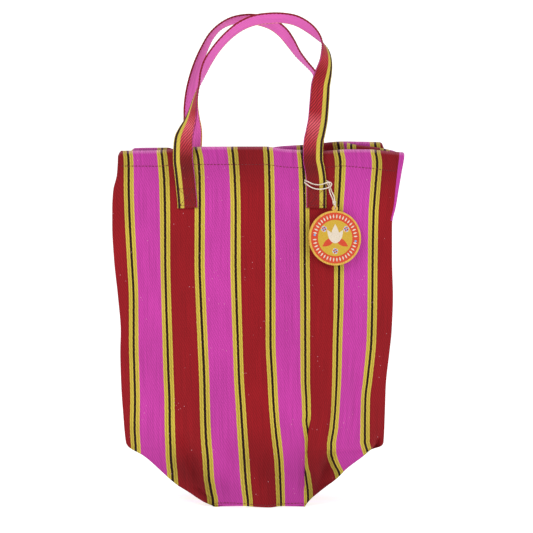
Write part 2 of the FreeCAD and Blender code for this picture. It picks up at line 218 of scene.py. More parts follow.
class Shader:
    """A material whose nodes are added one step at a time."""

    def __init__(self, name):
        self.material = bpy.data.materials.new(name)
        self.material.use_nodes = True
        self.tree = self.material.node_tree
        self.surface = self.tree.nodes["Principled BSDF"]

    def add(self, kind, inputs=(), **settings):
        """A node with its settings, and its inputs by name or number."""
        node = self.tree.nodes.new(kind)
        for key, value in settings.items():
            setattr(node, key, value)
        for key, value in dict(inputs).items():
            self.feed(node.inputs[key], value)
        return node

    def feed(self, socket, value):
        """Links an output to a socket, or sets the socket's own value."""
        if isinstance(value, bpy.types.NodeSocket):
            self.tree.links.new(value, socket)
        else:
            socket.default_value = value

    def math(self, operation, *values):
        return self.add("ShaderNodeMath", enumerate(values), operation=operation).outputs[0]

    def ramp(self, value, stops, smooth=False):
        """Colours by value: each stop is where it starts and its colour."""
        node = self.add("ShaderNodeValToRGB", {0: value})
        node.color_ramp.interpolation = "LINEAR" if smooth else "CONSTANT"
        elements = node.color_ramp.elements
        while len(elements) < len(stops):
            elements.new(0.5)
        for element, (place, shade) in zip(elements, stops):
            element.position = place
            element.color = shade
        return node.outputs[0]

    def spread(self, value, low, high, to_low=0.0, to_high=1.0):
        """A value from one range to another, held at its ends."""
        inputs = {"Value": value, "From Min": low, "From Max": high,
                  "To Min": to_low, "To Max": to_high}
        return self.add("ShaderNodeMapRange", inputs).outputs[0]

    def mix(self, share, first, second, blend="MIX"):
        """Two colours, mixed."""
        return self.add("ShaderNodeMix", {0: share, 6: first, 7: second},
                        data_type="RGBA", blend_type=blend).outputs[2]

    def vector(self, x, y, z=0.0):
        return self.add("ShaderNodeCombineXYZ", {0: x, 1: y, 2: z}).outputs[0]

    def cloud(self, vector, scale=1.0, detail=2.0):
        """Soft noise from 0 to 1."""
        inputs = {"Vector": vector, "Scale": scale, "Detail": detail}
        return self.add("ShaderNodeTexNoise", inputs).outputs[0]

    def across_and_along(self):
        """The two directions of the cloth's own map, in millimetres."""
        place = self.add("ShaderNodeUVMap", uv_map="cloth").outputs[0]
        parts = self.add("ShaderNodeSeparateXYZ", {0: place})
        return parts.outputs[0], parts.outputs[1]

    def finish(self, shade, roughness, height=None, depth=0.1, sheen=0.0, gloss=0.5):
        """Connects the colour, roughness and surface height. depth is in millimetres."""
        self.feed(self.surface.inputs["Base Color"], shade)
        self.feed(self.surface.inputs["Roughness"], roughness)
        self.surface.inputs["Sheen Weight"].default_value = sheen
        self.surface.inputs["Sheen Roughness"].default_value = 0.5
        self.surface.inputs["Specular IOR Level"].default_value = gloss
        if height is not None:
            inputs = {"Height": height, "Distance": depth * MM, "Strength": 0.8}
            bump = self.add("ShaderNodeBump", inputs)
            self.feed(self.surface.inputs["Normal"], bump.outputs[0])
        return self.material


def weave(shader, across, along, shade, pitch, lean, contrast, fleck, ribbed=1.0):
    """Streaks of the warp, diagonal ribs, pale flecks and slow changes of colour, on a base colour.

    The ribs are pitch apart and lean this much for each step along the cloth. ribbed is how much
    they show, as a number or a socket. Returns the colour and the height of the ribs and threads.
    """
    streak = shader.cloud(shader.vector(shader.math("MULTIPLY", across, 1.1),
                                        shader.math("MULTIPLY", along, 0.018)), detail=3.0)
    streaks = [(0.30, grey(0.80)), (0.50, grey(0.97)), (0.72, grey(1.08))]
    shade = shader.mix(1.0, shade, shader.ramp(streak, streaks, True), "MULTIPLY")
    slant = shader.math("MULTIPLY_ADD", along, lean, across)
    slant = shader.math("MULTIPLY", slant, 2 * math.pi / pitch)
    waver = shader.cloud(shader.vector(across, along), scale=0.12)
    rib = shader.math("SINE", shader.math("MULTIPLY_ADD", waver, 4.0, slant))
    rib = shader.math("MULTIPLY_ADD", rib, 0.5, 0.5)
    ribs = [(0.0, grey(1 - contrast)), (0.55, grey(1.0)), (1.0, grey(1 + contrast / 2))]
    shade = shader.mix(ribbed, shade, shader.ramp(rib, ribs, True), "MULTIPLY")
    patch = shader.cloud(shader.vector(across, along), scale=0.014, detail=3.0)
    patches = [(0.30, grey(0.90)), (0.70, grey(1.05))]
    shade = shader.mix(1.0, shade, shader.ramp(patch, patches, True), "MULTIPLY")
    spots = shader.vector(across, shader.math("MULTIPLY", along, 0.6))
    cells = shader.add("ShaderNodeTexVoronoi", {"Vector": spots, "Scale": 0.5})
    dot = shader.math("LESS_THAN", cells.outputs["Distance"], 0.16)
    luck = shader.add("ShaderNodeSeparateColor", {0: cells.outputs["Color"]}).outputs[0]
    crowd = shader.cloud(shader.vector(across, along), scale=0.03, detail=1.0)
    lucky = shader.math("LESS_THAN", luck, shader.spread(crowd, 0.50, 0.75, 0.0, 0.34))
    flecked = shader.math("MULTIPLY", shader.math("MULTIPLY", dot, lucky), fleck)
    shade = shader.mix(flecked, shade, FLECK)
    threads = shader.cloud(shader.vector(shader.math("MULTIPLY", across, 2.4),
                                         shader.math("MULTIPLY", along, 0.9)), detail=1.0)
    height = shader.math("MULTIPLY_ADD", threads, 0.5, rib)
    return shade, height


STRIPE_STEP = 36.75                 # from one black line to the next
BLACK_HALF, BAND_HALF = 1.42, 5.3   # half of a black line, and of the yellow band round it
OLIVE_IN, OLIVE_OUT = 3.1, 3.6      # a thin darker streak in the yellow
DEEP_WIDE = 1.6                     # the deeper red beside the yellow
RIM_FOLD_ALONG = 365.3              # where the cloth turns over the rim, from its foot


def band_stops(middle):
    """Where the shades of one band start: yellow, black and yellow, with olive streaks."""
    starts = [(-BAND_HALF, YELLOW), (-OLIVE_OUT, OLIVE), (-OLIVE_IN, YELLOW), (-BLACK_HALF, BLACK),
              (BLACK_HALF, YELLOW), (OLIVE_IN, OLIVE), (OLIVE_OUT, YELLOW)]
    return [(middle + start, shade) for start, shade in starts]


def body_cloth_material():
    """Fields of pink and red by turns, with a yellow, black and yellow band between them."""
    shader = Shader("striped_cloth")
    across, along = shader.across_and_along()
    waver = shader.cloud(shader.vector(0.0, shader.math("MULTIPLY", along, 0.25)))
    place = shader.math("ADD", across, STRIPE_STEP / 2 - 0.4)
    place = shader.math("MULTIPLY_ADD", waver, 0.8, place)
    place = shader.math("FRACT", shader.math("DIVIDE", place, 2 * STRIPE_STEP))
    first, second = STRIPE_STEP / 2, STRIPE_STEP * 1.5
    starts = [(0.0, RED), (first - BAND_HALF - DEEP_WIDE, DEEP_RED), *band_stops(first),
              (first + BAND_HALF, PINK), *band_stops(second), (second + BAND_HALF, DEEP_RED),
              (second + BAND_HALF + DEEP_WIDE, RED)]
    stripes = shader.ramp(place, [(start / (2 * STRIPE_STEP), shade) for start, shade in starts])
    # Painted shade: darker patches towards the foot and a darker band below the rim, stronger on
    # the red fields than on the pink.
    hollow = shader.cloud(shader.vector(across, along), scale=0.019, detail=1.0)
    hollow = shader.spread(hollow, 0.36, 0.58, 0.3, 1.0)
    from_pink = shader.math("ABSOLUTE", shader.math("SUBTRACT", place, 0.5))
    red_field = shader.math("GREATER_THAN", from_pink, 0.25)
    near_foot = shader.math("MULTIPLY", hollow, shader.spread(along, 24.0, 84.0, 0.44, 0.0))
    near_rim = shader.spread(along, 312.0, 352.0, 0.0, 0.27)
    ink_wear_and_cloth_shade = shader.math("MULTIPLY", shader.math("MAXIMUM", near_rim, near_foot),
                       shader.math("MULTIPLY_ADD", red_field, 0.62, 0.38))
    stripes = shader.mix(ink_wear_and_cloth_shade, stripes, colour(30, 6, 12))
    # Painted highlight: a pale line along the fold over the rim, fainter on the red fields.
    from_fold = shader.math("ABSOLUTE", shader.math("SUBTRACT", along, RIM_FOLD_ALONG))
    pale = shader.math("MULTIPLY", shader.spread(from_fold, 0.5, 4.0, 0.26, 0.0),
                       shader.math("MULTIPLY_ADD", red_field, -0.6, 1.0))
    stripes = shader.mix(pale, stripes, FOLD_HIGHLIGHT)
    shade, height = weave(shader, across, along, stripes,
                          pitch=2.5, lean=0.5, contrast=0.14, fleck=0.6)
    roughness = shader.spread(height, 0.0, 1.5, 0.80, 0.64)
    return shader.finish(shade, roughness, height, depth=0.10, sheen=0.04, gloss=0.13)


STRAP_WIDE, STRAP_THICK = 20.8, 1.8
STRAP_LONG = 480.0                  # from foot to foot, along the strap
STRAP_BLACK, STRAP_YELLOW = 3.3, 7.2       # where these end, from the strap's outward edge
# share of the way from top to feet, the red with painted highlight and shade there, and how much
# ribs show
STRAP_LIT_REDS = [
    (0.00, colour(160, 30, 40), 0.9), (0.28, colour(176, 42, 52), 0.9),
    (0.345, colour(192, 46, 58), 0.9), (0.408, colour(154, 22, 30), 0.9),
    (0.49, colour(170, 34, 42), 1.0), (0.58, colour(176, 34, 46), 1.0),
    (0.635, colour(218, 90, 102), 1.0), (0.72, colour(178, 46, 58), 0.9),
    (0.775, colour(124, 16, 20), 0.6), (0.83, colour(112, 12, 16), 0.4),
    (0.89, colour(128, 14, 20), 0.3), (1.00, colour(136, 16, 22), 0.3),
]


def strap_material(name, pink):
    """The strap's striped face, or its pink face. Its map runs across from the outward edge."""
    shader = Shader(name)
    across, along = shader.across_and_along()
    if pink:
        starts = [(0.0, ORANGE), (1.5, PALE_PINK), (STRAP_WIDE - 1.1, DEEP_RED)]
    else:
        starts = [(0.0, YELLOW), (0.7, BLACK), (STRAP_BLACK, YELLOW), (STRAP_WIDE - 0.5, PINK)]
    stripes = shader.ramp(shader.math("DIVIDE", across, STRAP_WIDE),
                          [(start / STRAP_WIDE, shade) for start, shade in starts])
    ribbed = 1.0
    if not pink:
        from_top = shader.math("ABSOLUTE", shader.math("SUBTRACT", along, STRAP_LONG / 2))
        from_top = shader.math("DIVIDE", from_top, STRAP_LONG / 2)
        # Painted light along the strap: a highlight where it leans out above the rim, and shade on
        # its feet below the rim.
        red = shader.ramp(from_top, [(place, shade) for place, shade, _ in STRAP_LIT_REDS], True)
        ribs = shader.ramp(from_top, [(place, grey(share)) for place, _, share in STRAP_LIT_REDS], True)
        red_part = shader.math("MULTIPLY", shader.math("LESS_THAN", across, STRAP_WIDE - 0.5),
                               shader.spread(across, STRAP_YELLOW - 0.2, STRAP_YELLOW + 0.2))
        stripes = shader.mix(red_part, stripes, red)
        ribbed = shader.math("MAXIMUM", shader.math("MULTIPLY", red_part, ribs), 0.2)
    shade, height = weave(shader, across, along, stripes, pitch=2.8, lean=-0.65,
                          contrast=0.10 if pink else 0.62, fleck=0.2, ribbed=ribbed)
    roughness = shader.spread(height, 0.0, 1.5, 0.74, 0.56)
    return shader.finish(shade, roughness, height, depth=0.16, sheen=0.04, gloss=0.2)


def thread_material(name, shade):
    """Twisted sewing thread."""
    shader = Shader(name)
    place = shader.add("ShaderNodeTexCoord").outputs["Object"]
    twist = shader.add("ShaderNodeTexWave", {"Vector": place, "Scale": 900.0, "Distortion": 2.0},
                       bands_direction="DIAGONAL").outputs["Fac"]
    lit = shader.math("MULTIPLY", twist, 0.45)
    tone = shader.mix(lit, shade, (1.0, 0.82, 0.75, 1.0), "SOFT_LIGHT")
    return shader.finish(tone, 0.6, twist, depth=0.08, sheen=0.1, gloss=0.4)


def cotton_material():
    """Off-white cotton string, with fibres and a little grime."""
    shader = Shader("tag_cotton")
    place = shader.add("ShaderNodeTexCoord").outputs["Object"]
    fibres = shader.cloud(place, 2600.0, 3.0)
    grime = shader.cloud(place, 160.0, 2.0)
    tone = shader.ramp(grime, [(0.35, colour(214, 200, 182)), (0.6, COTTON)], True)
    roughness = shader.spread(fibres, 0.3, 0.7, 0.95, 0.75)
    return shader.finish(tone, roughness, fibres, depth=0.15, sheen=0.3, gloss=0.2)


def board_material():
    """The tag's board: thin plywood stained golden."""
    shader = Shader("tag_board")
    place = shader.add("ShaderNodeTexCoord").outputs["Object"]
    parts = shader.add("ShaderNodeSeparateXYZ", {0: place})
    grain_at = shader.vector(shader.math("MULTIPLY", parts.outputs[0], 900.0),
                             shader.math("MULTIPLY", parts.outputs[1], 900.0),
                             shader.math("MULTIPLY", parts.outputs[2], 60.0))
    grain = shader.cloud(grain_at, 1.0, 4.0)
    tone = shader.ramp(grain, [(0.3, colour(196, 140, 42)), (0.5, colour(218, 168, 60)),
                               (0.75, colour(228, 184, 82))], True)
    roughness = shader.spread(grain, 0.3, 0.7, 0.55, 0.42)
    return shader.finish(tone, roughness, grain, depth=0.05, gloss=0.45)


def ink_material(name, shade, ink_wear_and_cloth_shade):
    """Printed ink with slight mottling and pale pinholes."""
    shader = Shader(name)
    place = shader.add("ShaderNodeTexCoord").outputs["Object"]
    mottle = shader.cloud(place, 420.0, 3.0)
    tone = shader.mix(shader.spread(mottle, 0.4, 0.75, 0.0, 0.35), shade, ink_wear_and_cloth_shade)
    roughness = shader.spread(mottle, 0.3, 0.7, 0.5, 0.38)
    return shader.finish(tone, roughness, mottle, depth=0.02, gloss=0.45)


def backdrop_material():
    """Plain pale paper."""
    shader = Shader("backdrop_paper")
    place = shader.add("ShaderNodeTexCoord").outputs["Object"]
    fibre = shader.cloud(place, 300.0)
    tone = shader.ramp(fibre, [(0.3, (0.48, 0.48, 0.48, 1)), (0.7, (0.50, 0.50, 0.50, 1))], True)
    shader.surface.inputs["Emission Color"].default_value = (1, 1, 1, 1)
    shader.surface.inputs["Emission Strength"].default_value = 0.80
    return shader.finish(tone, 0.9, gloss=0.1)


# --- the bag's body -------------------------------------------------------------------------------
BASE_DEPTH, CORNER_Z = 150.0, 55.0
FOOT_BULGE, FOOT_BULGE_TALL = 7.5, 60.0     # how the middle of the foot stands out, and up to where
SIDE_ROOM = 1.1                     # how far the walls part at the rim's ends
RIM_Z, BACK_RIM_Z = 364.0, 370.0
MOUTH_HALF, FLARE = 13.0, 1.2
ROUND_LOW, ROUND_RIM = 1.5, 2.2
WALL_OUT = 1.5                      # from the walls' meeting line to the outer face
CLOTH = 0.7
HEM_DEPTH, HEM_INSET = 18.0, 1.6
COLUMNS, END_STEP = 150, 10         # columns across a wall, and degrees between those round an end

# height, left side edge, right side edge. Under the corners the walls run in to the base.
EDGES = [
    (0, -47.5, 47), (5, -59, 50.5), (14, -75, 62), (19, -85, 69.5), (24, -92.5, 78),
    (28, -98, 83.5), (33, -104.5, 89), (46.5, -123.5, 110), (52.5, -136.5, 118.5),
    (54.5, -139, 127), (58, -141, 129.5), (89, -144, 131), (118, -146, 132), (155, -147, 136),
    (174, -146.5, 138), (212, -149.5, 139.5), (250, -153.5, 138.5), (288, -155.5, 138.5),
    (307, -155.5, 142.5), (326, -154.5, 145.5), (344, -150.5, 148.5), (364, -149.5, 151.5),
]
# x, height of the rim there
FRONT_RIM = [
    (-150, 360), (-146, 364.6), (-110, 364.8), (-94, 365.9), (-62, 368.4), (6, 368.4),
    (15, 367.2), (28, 365.5), (42, 364.9), (66, 364), (90, 365.7), (116, 365.8), (126, 364.9),
    (136, 364), (151, 363),
]
BACK_RIM = [
    (-150, 360), (-138, 363), (-132, 367.8), (-98, 368.5), (-86, 365.5), (4, 365.5), (16, 369.6),
    (56, 372.4), (86, 375), (110, 374.6), (126, 374), (129, 372), (131.5, 362), (151, 360),
]
# height, x of the eight black lines on the front
LINES = [
    (4, -126, -88, -47.5, -12.1, 21.3, 48.4, 84, 116),
    (14, -127, -89, -49.5, -13.2, 21, 48.4, 84, 116),
    (29, -128.5, -90.3, -52.4, -14.7, 20.4, 46, 81.8, 116),
    (38, -129.3, -91.5, -53, -15.4, 20, 46, 77.2, 115),
    (46, -130, -92.5, -53.5, -16, 19.5, 46, 73.8, 113.5),
    (53, -130.4, -92.7, -54.2, -16.5, 18.7, 46.5, 72.9, 111),
    (60, -130.8, -93, -55, -17, 17.8, 47, 73, 109),
    (75, -131.5, -93.5, -56, -18, 16, 48, 75.5, 109),
    (105, -131, -94, -57, -20, 13.5, 47.5, 78, 109.5),
    (126, -131.5, -95, -57.5, -21.5, 12.5, 46.5, 79, 112),
    (167, -132.5, -96.5, -59.5, -23, 10.5, 46.5, 80, 116),
    (208, -132.5, -98, -61.5, -24.5, 10.5, 46.5, 81.5, 117),
    (250, -134.5, -99, -63, -25.5, 10.5, 46, 82, 117.5),
    (295, -137, -99.3, -63, -25.5, 10, 46, 81, 118.5),
    (330, -138, -100.3, -63.3, -26.5, 9.5, 45.5, 83, 121),
    (350, -138, -102, -64.5, -28, 9, 44.5, 83.7, 122.5),
    (366, -139, -103.5, -67.5, -29.5, 8, 43, 81.5, 120.5),
]

# the tuck that rises from the right corner of the base: height, x of the fold, and x where the
# sixth black line would be if the cloth left of the fold, and right of it, went on
TUCK = [
    (0, 36, 48.4, 48.4), (5, 40, 48.4, 48.4), (14, 47.6, 48.4, 48.4), (21, 45.3, 49.5, 47.5),
    (30, 45.3, 50.8, 46.4), (41, 45.8, 50, 44.4), (52, 48.2, 50.3, 44.0), (63, 48.8, 50.4, 43.6),
    (74.5, 49.4, 48.9, 44.3), (86, 51.6, 47.4, 47.4),
]
TUCK_LINE = 6                       # the column of that line in LINES
# the tuck's column and how far on its step ends, as shares of the wall
TUCK_SHARE, TUCK_STEP = 0.4, 0.004
TUCK_TOP, TUCK_FALL = 98.0, 2.8     # how high the step goes, and how deep it is
# the same on the left: height and x of its line, where it ends, and how deep it is
LEFT_TUCK, LEFT_TUCK_TOP, LEFT_TUCK_FALL = [(0, -47.5), (30, -53), (60, -58)], 60.0, 2.2
# single creases of the front: height and x along each, then its depth, its width and how far its
# ends fade
CREASES = [
    ([(66, 93.2), (91, 97.6), (106, 98.3), (130, 101)], 2.2, 2.6, 16),
    ([(48, 119.5), (60, 123.5)], 6.0, 2.6, 7),
    ([(20, 64), (33, 68), (46, 72)], 6.5, 5.0, 9),
    ([(7, -51), (15, -62)], 3.2, 2.8, 5),
    ([(352, 36.3), (366, 36.3)], 2.2, 2.2, 7),
    ([(24, -62), (44, -70), (62, -76)], 4.6, 7.0, 14),
    ([(20, -34), (44, -30), (60, -31)], 2.2, 3.4, 12),
    ([(24, 4), (52, 8)], 2.0, 3.6, 12),
    ([(150, -118), (200, -121), (262, -124)], 1.8, 4.5, 40),
    ([(96, 26), (150, 29), (205, 31)], 1.6, 4.5, 35),
]
# x and rise of the front's foot
FOOT_LIFT = [
    (-47, 0.2), (-42, 1.5), (-30, 2.1), (-20, 1.8), (10, 0), (20, 1.2), (40, 1.5), (47, 0.3),
]
# near the top of the right edge a sliver of the back's pink cloth comes round to the front
SLIVER_FROM, SLIVER_GROWTH, SLIVER_SHARE = 293.0, 0.06, 0.96
SLIVER_STRIPE = 6.5 * STRIPE_STEP


def edge_x(z, right):
    """x of a side edge at a height."""
    return read_table(EDGES, z, 2 if right else 1)


def corner_half(z):
    """Half of the depth of the three-cornered ends at a height: nothing above the corners."""
    return BASE_DEPTH / 2 * max(0.0, 1 - z / CORNER_Z)


def wall_depth(share, z):
    """Distance from the bag's middle plane to a wall's outer face, before its folds."""
    rise = min(1.0, max(0.0, z / RIM_Z))
    middle = between(MOUTH_HALF, BASE_DEPTH / 2, (1 - rise) ** FLARE)
    edge = corner_half(z)
    roundness = between(ROUND_LOW, ROUND_RIM, rise)
    side_room = SIDE_ROOM * ease((z - 320) / 30) * share ** 6
    bulge = FOOT_BULGE * (1 - share * share) * ease(1 - z / FOOT_BULGE_TALL)
    return edge + (middle - edge) * (1 - abs(share) ** roundness) + WALL_OUT + side_room + bulge


# broad hollows, upright folds, creases near the foot and the hem's puckers
FOLD_DEPTHS = (2.4, 2.4, 4.2, 0.6)


def folds(side, x, z, share):
    """How far the cloth falls in from the wall's even shape."""
    quiet = (1 - abs(share) ** 5) * between(0.25, 1.0, ease(z / 28))
    broad = 0.5 + 0.5 * ripple(x, z, 60, 130, 3.1 * side)
    upright = max(0.0, ripple(x, z, 17, 120, 7.7 * side)) ** 1.3
    low = max(0.0, ripple(x + 0.4 * z, z, 19, 34, 11.3 * side)) * ease((85 - z) / 60)
    hem = (0.5 + 0.5 * ripple(x, z, 7, 26, 5.9 * side)) * ease(1 - abs(z - 345) / 26)
    parts = zip(FOLD_DEPTHS, (broad, upright, low, hem))
    return quiet * sum(depth * part for depth, part in parts)


def tuck_x(z):
    """x of the tuck's fold at a height. Above the tuck it runs on with the wall's columns."""
    plain = TUCK_SHARE * (edge_x(z, True) - WALL_OUT)
    return between(read_table(TUCK, z), plain, ease((z - TUCK[-1][0]) / 40))


def corner_tucks(side, x, z):
    """The creases that rise from the base's corners, as a sharp step in the cloth."""
    if side == BACK:
        return 0.0
    right = x - tuck_x(z)
    fall = TUCK_FALL * ease((TUCK_TOP - z) / 26) * ease((z - 6) / 20)
    depth = fall * ease(1 + right / 14) if right < 0 else fall * max(0.0, 1 - right / 0.4)
    left = x - read_table(LEFT_TUCK, z)
    fall = LEFT_TUCK_FALL * ease((LEFT_TUCK_TOP - z) / 40)
    return depth + (fall * ease(1 - left / 12) if left > 0 else fall * max(0.0, 1 + left / 1.5))


def creases(side, x, z):
    """The depth of the front's single creases."""
    if side == BACK:
        return 0.0
    total = 0.0
    for line, depth, width, fade in CREASES:
        if line[0][0] - fade < z < line[-1][0] + fade:
            reach = ease((z - line[0][0] + fade) / fade) * ease((line[-1][0] + fade - z) / fade)
            total += depth * reach * math.exp(-((x - read_table(line, z)) / width) ** 2)
    return total


def face_y(side, x, z, share, inset):
    """y of a wall's face at a share of its half width, this far inside, folds included."""
    dips = folds(side, x, z, share) + corner_tucks(side, x, z) + creases(side, x, z)
    return side * (wall_depth(share, z) - inset - dips)


def wall_y(side, x, z):
    """y of a wall's outer face, folds included."""
    return face_y(side, x, z, min(1.0, abs(x) / abs(edge_x(z, x > 0))), 0.0)


def lift(side, x, z):
    """How much higher than even rows the cloth is: the rim's line, and the front's wavy foot."""
    rim = read_table(FRONT_RIM if side == FRONT else BACK_RIM, x)
    foot = read_table(FOOT_LIFT, x) * ease((20 - z) / 18) if side == FRONT else 0.0
    return (rim - RIM_Z) * ease((z - 225) / (RIM_Z - 225)) + foot


SHARES = [between(-1, 1, i / COLUMNS) for i in range(COLUMNS + 1)]
SHARES = sorted(SHARES + [TUCK_SHARE + TUCK_STEP])


def column_x(kind, share, z):
    """x of a wall's column at a height. Two columns of the front follow the tuck and the sliver."""
    reach = abs(edge_x(z, share > 0)) - WALL_OUT
    if kind == "back" or share <= 0:
        return share * reach
    sliver = max(0.3, (z - SLIVER_FROM) * SLIVER_GROWTH)
    knots = [(0.0, 0.0), (TUCK_SHARE, tuck_x(z)), (SLIVER_SHARE, reach - sliver), (1.0, reach)]
    for (share_a, x_a), (share_b, x_b) in zip(knots, knots[1:]):
        if share <= share_b + 1e-9:
            break
    return between(x_a, x_b, (share - share_a) / (share_b - share_a))


def make_columns():
    """The places round the bag: a kind and a place on it, from the front's left edge onwards."""
    turns = range(-90 + END_STEP, 90, END_STEP)
    columns = [("front", share) for share in SHARES]
    columns += [("right", turn) for turn in turns]
    columns += [("back", share) for share in reversed(SHARES)]
    columns += [("left", -turn) for turn in turns]
    return columns


def loop_point(column, z, inset):
    """The point of one column at a height, this far inside the outer face."""
    kind, place = column
    if kind in ("front", "back"):
        side = FRONT if kind == "front" else BACK
        x = column_x(kind, place, z)
        share = min(1.0, abs(x) / (abs(edge_x(z, x > 0)) - WALL_OUT))
        return Vector((x, face_y(side, x, z, share, inset), z + lift(side, x, z)))
    right = kind == "right"
    sign = 1 if right else -1
    edge = abs(edge_x(z, right))
    radius = max(0.4, wall_depth(1, z) - corner_half(z) - inset)
    turn = math.radians(place)
    x = sign * (edge - WALL_OUT + (WALL_OUT - inset) * math.cos(turn))
    y = corner_half(z) * max(-1.0, min(1.0, place / 65)) + radius * math.sin(turn)
    rise = between(lift(FRONT, x, z), lift(BACK, x, z), 0.5 + place / 180)
    return Vector((x, y, z + rise))


def stripe_place(x, z, tuck_side=0):
    """How far across the cloth this point of a wall is, counted by the black lines.

    tuck_side is 2 or 3 for the cloth left or right of the tuck, as in TUCK, and 0 for none.
    """
    lines = [read_table(LINES, z, i) for i in range(1, 9)]
    if tuck_side and TUCK[2][0] < z < TUCK[-1][0]:
        lines[TUCK_LINE - 1] = read_table(TUCK, z, tuck_side)
    if x < lines[0] or x > lines[-1]:
        end, number = (lines[0], 0) if x < lines[0] else (lines[-1], 7)
        return (number + (x - end) / (STRIPE_STEP - 1.5)) * STRIPE_STEP
    i = min(6, bisect.bisect_right(lines, x) - 1)
    return (i + (x - lines[i]) / (lines[i + 1] - lines[i])) * STRIPE_STEP


def column_stripe(column, z, tuck_side):
    """The same for a column of the body's mesh, ends included."""
    kind, place = column
    if kind in ("front", "back"):
        return stripe_place(column_x(kind, place, z), z, tuck_side)
    right = kind == "right"
    sign = 1 if right else -1
    at_wall = stripe_place(sign * (abs(edge_x(z, right)) - WALL_OUT), z)
    if z >= CORNER_Z:
        return at_wall + sign * WALL_OUT * (1 - abs(place) / 90)
    seam_z = CORNER_Z + 4
    return between(stripe_place(edge_x(seam_z, right), seam_z), at_wall, min(1.0, abs(place) / 65))


def face_stripes(pair, z, middle_z):
    """How far across the cloth two neighbouring columns are, as one face between them shows it."""
    kinds = [kind for kind, _ in pair]
    near_edge = kinds == ["front", "front"] and pair[0][1] >= SLIVER_SHARE - 1e-9
    if middle_z > SLIVER_FROM and (near_edge or "right" in kinds):
        return [SLIVER_STRIPE + (130 * (place - 1) if kind == "front" else 0.0)
                for kind, place in pair]
    tuck_side = 0
    if kinds == ["front", "front"]:
        tuck_side = 2 if pair[0][1] < TUCK_SHARE - 1e-9 else 3
    return [column_stripe(column, z, tuck_side) for column in pair]


BODY_HEIGHTS = [0.1, 0.5, 1.6, 3.2] + [5 + 3.5 * i for i in range(13)]
BODY_HEIGHTS += [49, 51, 52.5, 53.5, 54.5, 56, 58, 61] + [64.5 + 4.2 * i for i in range(71)]
BASE_INSETS = [2.6, 1.0, 0.3, 0.05]
RIM_FOLD = [(1.2, 0.0), (0.35, 0.25), (0.0, 0.8), (0.35, 1.35)]     # drop below the rim, and inset


def body_rows():
    """Height and inset of each row, up the wall and down inside the hem."""
    rows = [(z, BASE_INSETS[i] if i < len(BASE_INSETS) else 0.0)
            for i, z in enumerate(BODY_HEIGHTS)]
    rows += [(RIM_Z - drop, inset) for drop, inset in RIM_FOLD]
    rows += [(RIM_Z - RIM_FOLD[0][0] - HEM_DEPTH * i / 6, HEM_INSET) for i in range(7)]
    return rows


def body_cloth(material):
    """The whole body: walls, three-cornered ends, flat base and the hem turned in, as one cloth."""
    columns, rows = make_columns(), body_rows()
    around = len(columns)
    points, lengths, length = [], [], 0.0
    for number, (z, inset) in enumerate(rows):
        if number:
            length += math.dist(rows[number - 1], rows[number])
        lengths.append(length)
        points += [loop_point(column, z, inset) for column in columns]
    faces, uvs = [], []
    for r in range(len(rows) - 1):
        low, high = rows[r][0], rows[r + 1][0]
        for c in range(around):
            d = (c + 1) % around
            here, above = r * around, (r + 1) * around
            faces.append((here + c, here + d, above + d, above + c))
            pair, middle = (columns[c], columns[d]), (low + high) / 2
            low_stripes = face_stripes(pair, low, middle)
            high_stripes = face_stripes(pair, high, middle)
            uvs += [(low_stripes[0], lengths[r]), (low_stripes[1], lengths[r]),
                    (high_stripes[1], lengths[r + 1]), (high_stripes[0], lengths[r + 1])]
    add_base(points, faces, uvs, columns)
    return new_piece("body_cloth", points, faces, [material], uvs)


def add_base(points, faces, uvs, columns):
    """Closes the bottom: lines from the left end's columns to the right end's."""
    around = len(columns)
    left = [i for i, (kind, _) in enumerate(columns) if kind == "left"][::-1]
    right = [i for i, (kind, _) in enumerate(columns) if kind == "right"]
    front = [i for i, (kind, _) in enumerate(columns) if kind == "front"]
    back = [i for i, (kind, _) in enumerate(columns) if kind == "back"][::-1]
    lines = [front]
    for start, end in zip(left, right):
        a, b = points[start], points[end]
        line = [start]
        for share in SHARES[1:-1]:
            p = a.lerp(b, (share + 1) / 2)
            p.z += 1.4 * (0.5 + 0.5 * ripple(p.x, p.y, 26, 30, 2.3)) * (1 - share * share)
            line.append(len(points))
            points.append(p)
        lines.append(line + [end])
    lines.append(back)
    for near, far in zip(lines, lines[1:]):
        for i in range(len(SHARES) - 1):
            corners = (near[i], far[i], far[i + 1], near[i + 1])
            faces.append(corners)
            uvs += [(stripe_place(points[k].x, 4), -points[k].y - BASE_DEPTH / 2) for k in corners]


# x and height of the top edge of the fold of cloth tucked into the mouth's right end
FLAP_TOP = [(91, 373.2), (98, 371.4), (114, 369.3), (128, 367.4), (140, 365), (150, 362)]
FLAP_LEFT, FLAP_RIGHT, FLAP_BACK_END = 91.0, 149.0, 126.0
FLAP_FRONT_Y, FLAP_BACK_Y, FLAP_TALL = -1.3, 1.7, 60.0
FLAP_MARGIN = 4.0                   # from its right end to the bag's right edge
FLAP_LINE, FLAP_STEP = 95.5, 36.5   # x of its first black line, and from there to the next


def flap_line():
    """x, y and place across the cloth along the fold: front layer, curl and back layer."""
    line = []
    for i in range(32):
        x = between(FLAP_RIGHT, FLAP_LEFT + 1.5, i / 31)
        y = between(FLAP_FRONT_Y, 0.0, ease((x - 118) / 30)) + 0.35 * ripple(x, 0, 15, 1, 6.1)
        line.append((x, y, (1 + (x - FLAP_LINE) / FLAP_STEP) * STRIPE_STEP))
    radius = (FLAP_BACK_Y - FLAP_FRONT_Y) / 2
    across = line[-1][2]
    for step in range(1, 8):
        turn = math.pi * step / 8
        across -= math.pi * radius / 8
        x = FLAP_LEFT + radius - radius * math.sin(turn)
        line.append((x, FLAP_FRONT_Y + radius - radius * math.cos(turn), across))
    for i in range(20):
        x = between(FLAP_LEFT + 1.5, FLAP_BACK_END, i / 19)
        y = FLAP_BACK_Y + 0.3 * ripple(x, 3, 15, 1, 6.1)
        line.append((x, y, across - (x - FLAP_LEFT - 1.5)))
    return line


